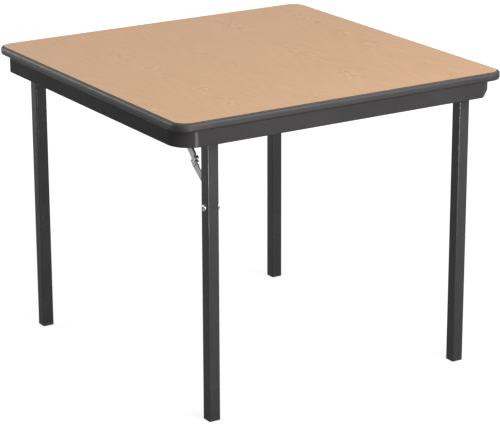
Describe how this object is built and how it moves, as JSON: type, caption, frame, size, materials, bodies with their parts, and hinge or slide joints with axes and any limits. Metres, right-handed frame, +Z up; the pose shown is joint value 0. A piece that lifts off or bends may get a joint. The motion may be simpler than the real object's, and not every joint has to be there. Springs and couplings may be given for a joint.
{
  "type": "folding card table",
  "caption": "Square card table with a wood-grain laminate top, dark edge moulding, steel apron and two folding leg frames with locking braces.",
  "frame": {"origin": "on the floor under the centre of the top", "axes": "+Z up, +X along the front edge to the right, +Y from the front edge to the back edge"},
  "size_m": [0.9144, 0.9144, 0.7493],
  "materials": {
    "laminate": "satin wood-grain laminate",
    "core_board": "raw particle board",
    "backing_sheet": "matt brown backing sheet",
    "edge_vinyl": "satin extruded vinyl",
    "black_enamel": "satin charcoal powder coat",
    "zinc": "bright zinc plate",
    "nylon": "natural nylon",
    "foot_plastic": "matt moulded plastic",
    "rubber": "matt moulded rubber"
  },
  "bodies": {
    "table": {"top_core": "core_board", "top_laminate": "laminate", "top_backer": "backing_sheet", "edge_moulding": "edge_vinyl", "apron_rail": "black_enamel", "apron_splice_plate": "black_enamel", "apron_splice_rivets": "black_enamel", "rest_pads": "rubber", "apron_screws": "zinc", "strap_screws": "zinc", "anchor_screws": "zinc", "pad_screws": "zinc", "front_braced_side_bearing": "nylon", "front_plain_side_bearing": "nylon", "front_braced_side_strap": "zinc", "front_plain_side_strap": "zinc", "front_brace_anchor": "zinc", "back_braced_side_bearing": "nylon", "back_plain_side_bearing": "nylon", "back_braced_side_strap": "zinc", "back_plain_side_strap": "zinc", "back_brace_anchor": "zinc"},
    "front_legs": {"front_braced_leg": "black_enamel", "front_plain_leg": "black_enamel", "front_braced_leg_foot": "foot_plastic", "front_plain_leg_foot": "foot_plastic", "front_braced_leg_plug": "foot_plastic", "front_plain_leg_plug": "foot_plastic", "front_cross_tube": "black_enamel", "front_brace_bolt": "zinc", "front_bolt_sleeve": "zinc", "front_leg_washer": "zinc"},
    "front_upper_link": {"front_upper_link": "zinc", "front_anchor_rivet": "zinc"},
    "front_lower_link": {"front_lower_link": "zinc", "front_knee_rivet": "zinc", "front_knee_washer": "zinc", "front_brace_end_rivet": "zinc"},
    "back_legs": {"back_braced_leg": "black_enamel", "back_plain_leg": "black_enamel", "back_braced_leg_foot": "foot_plastic", "back_plain_leg_foot": "foot_plastic", "back_braced_leg_plug": "foot_plastic", "back_plain_leg_plug": "foot_plastic", "back_cross_tube": "black_enamel", "back_brace_bolt": "zinc", "back_bolt_sleeve": "zinc", "back_leg_washer": "zinc"},
    "back_upper_link": {"back_upper_link": "zinc", "back_anchor_rivet": "zinc"},
    "back_lower_link": {"back_lower_link": "zinc", "back_knee_rivet": "zinc", "back_knee_washer": "zinc", "back_brace_end_rivet": "zinc"}
  },
  "joints": [
    {"name": "front_legs_fold", "type": "hinge", "parent": "table", "child": "front_legs", "pos_m": [0, -0.388, 0.7046], "axis": [1, 0, 0], "range_deg": [0, 90]},
    {"name": "front_upper_link_turn", "type": "hinge", "parent": "table", "child": "front_upper_link", "pos_m": [-0.316, -0.177, 0.7046], "axis": [-1, 0, 0], "range_deg": [0, 45.53]},
    {"name": "front_knee_turn", "type": "hinge", "parent": "front_upper_link", "child": "front_lower_link", "pos_m": [-0.316, -0.28973, 0.59935], "axis": [1, 0, 0], "range_deg": [0, 184.98]},
    {"name": "back_legs_fold", "type": "hinge", "parent": "table", "child": "back_legs", "pos_m": [0, 0.388, 0.7046], "axis": [-1, 0, 0], "range_deg": [0, 90]},
    {"name": "back_upper_link_turn", "type": "hinge", "parent": "table", "child": "back_upper_link", "pos_m": [0.316, 0.177, 0.7046], "axis": [1, 0, 0], "range_deg": [0, 45.53]},
    {"name": "back_knee_turn", "type": "hinge", "parent": "back_upper_link", "child": "back_lower_link", "pos_m": [0.316, 0.28973, 0.59935], "axis": [-1, 0, 0], "range_deg": [0, 184.98]}
  ],
  "couplings": [
    {"joint": "front_upper_link_turn", "follows": "front_legs_fold", "ratio": 0.50583},
    {"joint": "front_knee_turn", "follows": "front_legs_fold", "ratio": 2.0553},
    {"joint": "back_upper_link_turn", "follows": "back_legs_fold", "ratio": 0.50583},
    {"joint": "back_knee_turn", "follows": "back_legs_fold", "ratio": 2.0553}
  ]
}
